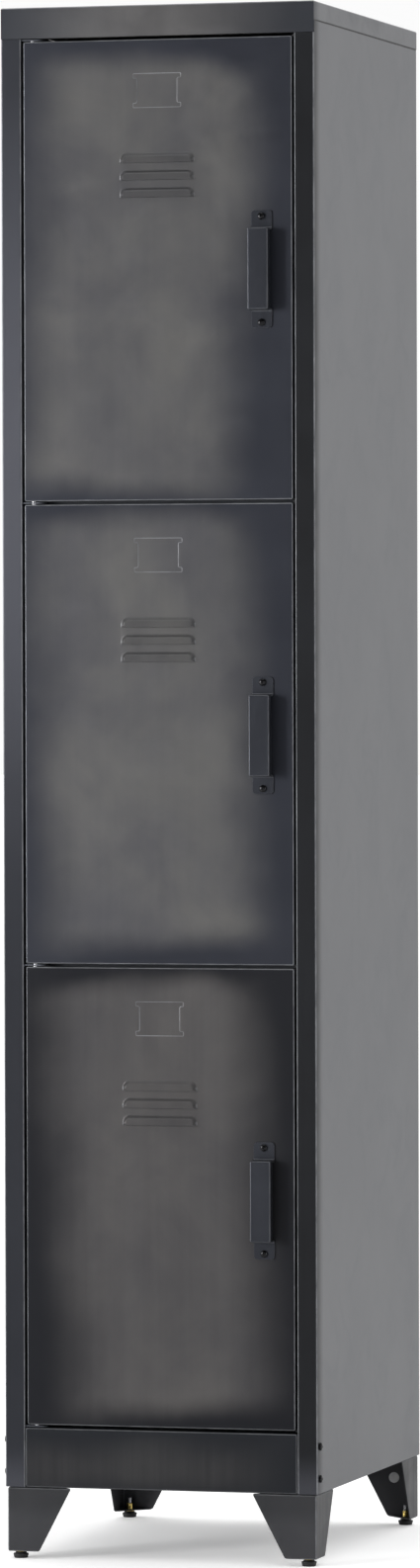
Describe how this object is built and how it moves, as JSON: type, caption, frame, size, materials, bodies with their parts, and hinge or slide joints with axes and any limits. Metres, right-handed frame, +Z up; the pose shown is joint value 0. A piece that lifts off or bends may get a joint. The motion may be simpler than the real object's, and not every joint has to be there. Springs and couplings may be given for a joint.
{
  "type": "locker cabinet",
  "caption": "Tall folded-steel locker: stacked side-hinged doors with louvres, label pockets and pull handles, on tapered sheet legs with levelling feet.",
  "frame": {"origin": "on the floor, in the middle of the outer box (the handles reach in front of the doors)", "axes": "+Z up; the doors face -Y and hinge on their left edge as seen from the front; +X to the right"},
  "size_m": [0.3826, 0.4958, 1.8],
  "materials": {
    "body_paint": "dark gunmetal lacquer on steel sheet, satin",
    "side_paint": "plain mid-grey lacquer on steel sheet, satin",
    "door_paint": "burnished gunmetal lacquer, darker towards the edges, satin",
    "handle_plate": "grey lacquer on bent strip, satin",
    "screw_steel": "dark zinc",
    "black_plastic": "moulded, matt",
    "yellow_zinc": "yellow passivated",
    "bright_steel": "bright zinc"
  },
  "bodies": {
    "cabinet": {"side_panel_left": "side_paint", "side_panel_right": "side_paint", "back_panel": "side_paint", "lid": "body_paint", "plinth": "body_paint", "floor_panel": "body_paint", "base_panel": "body_paint", "shelf_lower": "body_paint", "shelf_upper": "body_paint", "hinge_plate_1": "body_paint", "hinge_pin_1": "bright_steel", "hinge_plate_2": "body_paint", "hinge_pin_2": "bright_steel", "hinge_plate_3": "body_paint", "hinge_pin_3": "bright_steel", "hinge_plate_4": "body_paint", "hinge_pin_4": "bright_steel", "magnet_catch_lower": "black_plastic", "magnet_catch_middle": "black_plastic", "magnet_catch_upper": "black_plastic", "side_screw_left_lower": "screw_steel", "side_screw_left_upper": "screw_steel", "side_screw_right_lower": "screw_steel", "side_screw_right_upper": "screw_steel", "leg_front_left": "body_paint", "leg_bolt_front_left": "screw_steel", "leg_insert_front_left": "yellow_zinc", "leg_front_right": "body_paint", "leg_bolt_front_right": "screw_steel", "leg_insert_front_right": "yellow_zinc", "leg_back_left": "body_paint", "leg_bolt_back_left": "screw_steel", "leg_insert_back_left": "yellow_zinc", "leg_back_right": "body_paint", "leg_bolt_back_right": "screw_steel", "leg_insert_back_right": "yellow_zinc"},
    "door_lower_leaf": {"door_lower": "door_paint", "handle_lower": "handle_plate", "handle_lower_screw_lower": "screw_steel", "handle_lower_screw_upper": "screw_steel"},
    "door_middle_leaf": {"door_middle": "door_paint", "handle_middle": "handle_plate", "handle_middle_screw_lower": "screw_steel", "handle_middle_screw_upper": "screw_steel"},
    "door_upper_leaf": {"door_upper": "door_paint", "handle_upper": "handle_plate", "handle_upper_screw_lower": "screw_steel", "handle_upper_screw_upper": "screw_steel"},
    "foot_front_left": {"foot_pad_front_left": "black_plastic", "foot_stud_front_left": "bright_steel"},
    "foot_front_right": {"foot_pad_front_right": "black_plastic", "foot_stud_front_right": "bright_steel"},
    "foot_back_left": {"foot_pad_back_left": "black_plastic", "foot_stud_back_left": "bright_steel"},
    "foot_back_right": {"foot_pad_back_right": "black_plastic", "foot_stud_back_right": "bright_steel"}
  },
  "joints": [
    {"name": "door_lower_hinge", "type": "hinge", "parent": "cabinet", "child": "door_lower_leaf", "pos_m": [-0.151, -0.22215, 0.1565], "axis": [0, 0, -1], "range_deg": [0, 110]},
    {"name": "door_middle_hinge", "type": "hinge", "parent": "cabinet", "child": "door_middle_leaf", "pos_m": [-0.151, -0.22215, 0.69233], "axis": [0, 0, -1], "range_deg": [0, 110]},
    {"name": "door_upper_hinge", "type": "hinge", "parent": "cabinet", "child": "door_upper_leaf", "pos_m": [-0.151, -0.22215, 1.22817], "axis": [0, 0, -1], "range_deg": [0, 110]},
    {"name": "foot_front_left_level", "type": "slide", "parent": "cabinet", "child": "foot_front_left", "axis": [0, 0, -1], "range_m": [0, 0.01]},
    {"name": "foot_front_right_level", "type": "slide", "parent": "cabinet", "child": "foot_front_right", "axis": [0, 0, -1], "range_m": [0, 0.01]},
    {"name": "foot_back_left_level", "type": "slide", "parent": "cabinet", "child": "foot_back_left", "axis": [0, 0, -1], "range_m": [0, 0.01]},
    {"name": "foot_back_right_level", "type": "slide", "parent": "cabinet", "child": "foot_back_right", "axis": [0, 0, -1], "range_m": [0, 0.01]}
  ]
}
